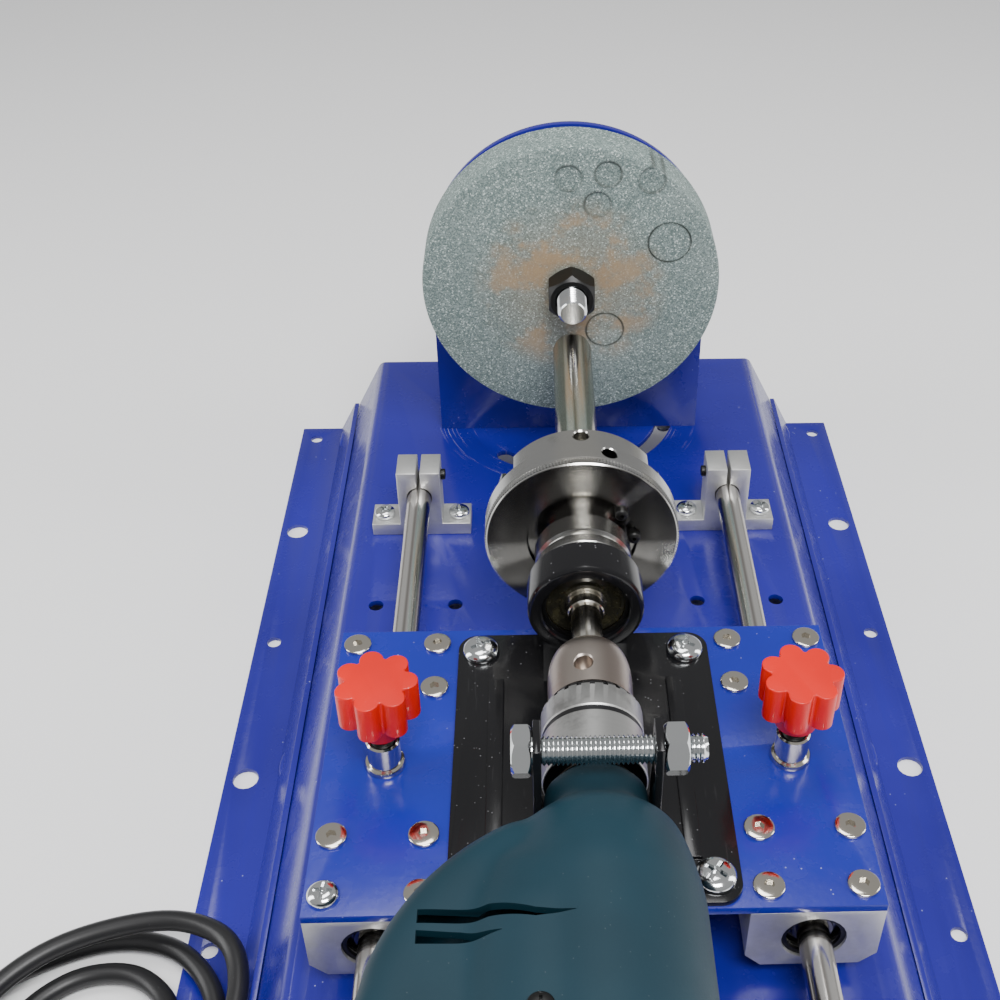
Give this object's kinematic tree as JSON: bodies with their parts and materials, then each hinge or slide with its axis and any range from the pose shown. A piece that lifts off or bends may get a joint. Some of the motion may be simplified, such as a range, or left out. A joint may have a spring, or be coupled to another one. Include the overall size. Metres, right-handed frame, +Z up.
{
  "type": "drill bit sharpener",
  "caption": "Bench sharpener for drill bits: a folded base with guide rods, a sliding carriage that turns the bit with a clamped power drill, and a swivelling grinding head.",
  "frame": {"origin": "on the bench, under the middle of the machine with its drill, free cord left out", "axes": "+Z up; +Y from the operator towards the grinding wheel, along the slide; +X to the operator's right"},
  "size_m": [0.3958, 0.5623, 0.1988],
  "materials": {
    "blue_paint": "gloss powder coat",
    "carriage_blue": "gloss powder coat, deeper blue",
    "blasted_aluminium": "bead-blasted",
    "ground_steel": "ground and polished",
    "machined_steel": "bright turned",
    "dark_steel": "darkened, lightly oiled",
    "black_oxide": "black oxide",
    "zinc_plate": "bright zinc plating",
    "nickel_plate": "bright nickel plating",
    "black_gloss": "black gloss enamel",
    "silicon_carbide": "bonded abrasive grit",
    "teal_plastic": "fine-textured moulding",
    "black_plastic": "fine-textured moulding",
    "red_plastic": "gloss moulding",
    "black_rubber": "satin",
    "copper_winding": "varnished windings"
  },
  "bodies": {
    "base": {"base_channel": "blue_paint", "flange_angle_left": "blue_paint", "flange_angle_right": "blue_paint", "shaft_support_rear_left": "blasted_aluminium", "shaft_support_front_left": "blasted_aluminium", "shaft_support_rear_right": "blasted_aluminium", "shaft_support_front_right": "blasted_aluminium", "guide_rod_left": "ground_steel", "guide_rod_right": "ground_steel", "swivel_pivot_bolt": "zinc_plate"},
    "head": {"head_bracket": "blue_paint", "motor_case": "blue_paint", "motor_rear_cap": "blue_paint", "motor_stator": "dark_steel", "motor_bearing": "ground_steel", "motor_cable_gland": "black_rubber", "head_clamp_bolt": "zinc_plate"},
    "switch": {"switch_button": "red_plastic"},
    "wheel": {"motor_shaft": "zinc_plate", "motor_rotor": "dark_steel", "wheel_inner_flange": "dark_steel", "grinding_wheel": "silicon_carbide", "wheel_nut": "black_oxide"},
    "carriage": {"carriage_plate": "carriage_blue", "bearing_block_rear_left": "blasted_aluminium", "bearing_block_front_left": "blasted_aluminium", "bearing_block_rear_right": "blasted_aluminium", "bearing_block_front_right": "blasted_aluminium", "linear_bearing_rear_left": "ground_steel", "linear_bearing_front_left": "ground_steel", "linear_bearing_rear_right": "ground_steel", "linear_bearing_front_right": "ground_steel", "lock_bushing_left": "nickel_plate", "lock_bushing_right": "nickel_plate", "mounting_plate": "black_gloss", "spindle_housing": "black_gloss", "spindle_bearing": "ground_steel", "drill_clamp": "black_gloss", "clamp_bolt": "zinc_plate", "clamp_nut": "zinc_plate", "drill_housing_upper": "teal_plastic", "drill_housing_lower": "teal_plastic", "cord_strain_relief": "black_rubber", "power_cord": "black_rubber", "cord_coil": "black_rubber", "power_plug": "black_rubber"},
    "lock_left": {"lock_knob_left": "red_plastic"},
    "lock_right": {"lock_knob_right": "red_plastic"},
    "work_spindle": {"spindle_shaft": "ground_steel", "chuck_back_plate": "machined_steel", "chuck_body": "machined_steel", "work_bit": "ground_steel", "drill_chuck": "dark_steel"},
    "ring": {"scroll_ring": "machined_steel"},
    "jaw_1": {"chuck_jaw_1": "machined_steel"},
    "jaw_2": {"chuck_jaw_2": "machined_steel"},
    "jaw_3": {"chuck_jaw_3": "machined_steel"},
    "sleeve": {"drill_chuck_sleeve": "dark_steel"},
    "armature": {"drill_armature": "copper_winding"},
    "trigger": {"drill_trigger": "black_plastic"}
  },
  "joints": [
    {"name": "head_swivel", "type": "hinge", "parent": "base", "child": "head", "pos_m": [0, 0.19535, 0.0453], "axis": [0, 0, 1], "range_deg": [-25, 25]},
    {"name": "wheel_spin", "type": "hinge", "parent": "head", "child": "wheel", "pos_m": [0, 0.16435, 0.1363], "axis": [0, 1, 0], "continuous": true},
    {"name": "switch_press", "type": "slide", "parent": "head", "child": "switch", "axis": [0, -1, 0], "range_m": [0, 0.0025], "stiffness_N_per_m": 300, "springref_m": -0.001},
    {"name": "carriage_slide", "type": "slide", "parent": "base", "child": "carriage", "axis": [0, 1, 0], "range_m": [-0.07, 0.004]},
    {"name": "lock_left_turn", "type": "hinge", "parent": "carriage", "child": "lock_left", "pos_m": [-0.0652, -0.05565, 0.1053], "axis": [0, 0, -1], "range_deg": [0, 285]},
    {"name": "lock_right_turn", "type": "hinge", "parent": "carriage", "child": "lock_right", "pos_m": [0.0652, -0.05565, 0.1053], "axis": [0, 0, -1], "range_deg": [0, 285]},
    {"name": "spindle_spin", "type": "hinge", "parent": "carriage", "child": "work_spindle", "pos_m": [0, 0.01935, 0.1153], "axis": [0, 1, 0], "continuous": true},
    {"name": "scroll_ring_turn", "type": "hinge", "parent": "work_spindle", "child": "ring", "pos_m": [0, 0.01935, 0.1153], "axis": [0, 1, 0], "range_deg": [0, 430]},
    {"name": "jaw_1_slide", "type": "slide", "parent": "work_spindle", "child": "jaw_1", "axis": [0.866, 0, 0.5], "range_m": [0, 0.0062]},
    {"name": "jaw_2_slide", "type": "slide", "parent": "work_spindle", "child": "jaw_2", "axis": [-0.866, 0, 0.5], "range_m": [0, 0.0062]},
    {"name": "jaw_3_slide", "type": "slide", "parent": "work_spindle", "child": "jaw_3", "axis": [0, 0, -1], "range_m": [0, 0.0062]},
    {"name": "sleeve_turn", "type": "hinge", "parent": "work_spindle", "child": "sleeve", "pos_m": [0, -0.08, 0.1153], "axis": [0, 1, 0], "range_deg": [0, 320]},
    {"name": "armature_spin", "type": "hinge", "parent": "carriage", "child": "armature", "pos_m": [0, -0.19, 0.1153], "axis": [0, 1, 0], "continuous": true},
    {"name": "trigger_pull", "type": "slide", "parent": "carriage", "child": "trigger", "axis": [0, -1, 0], "range_m": [0, 0.004], "stiffness_N_per_m": 400, "springref_m": -0.001}
  ],
  "couplings": [
    {"joint": "jaw_1_slide", "follows": "scroll_ring_turn", "m_per_rad": 0.0008},
    {"joint": "jaw_2_slide", "follows": "scroll_ring_turn", "m_per_rad": 0.0008},
    {"joint": "jaw_3_slide", "follows": "scroll_ring_turn", "m_per_rad": 0.0008},
    {"joint": "armature_spin", "follows": "spindle_spin", "ratio": -8}
  ]
}
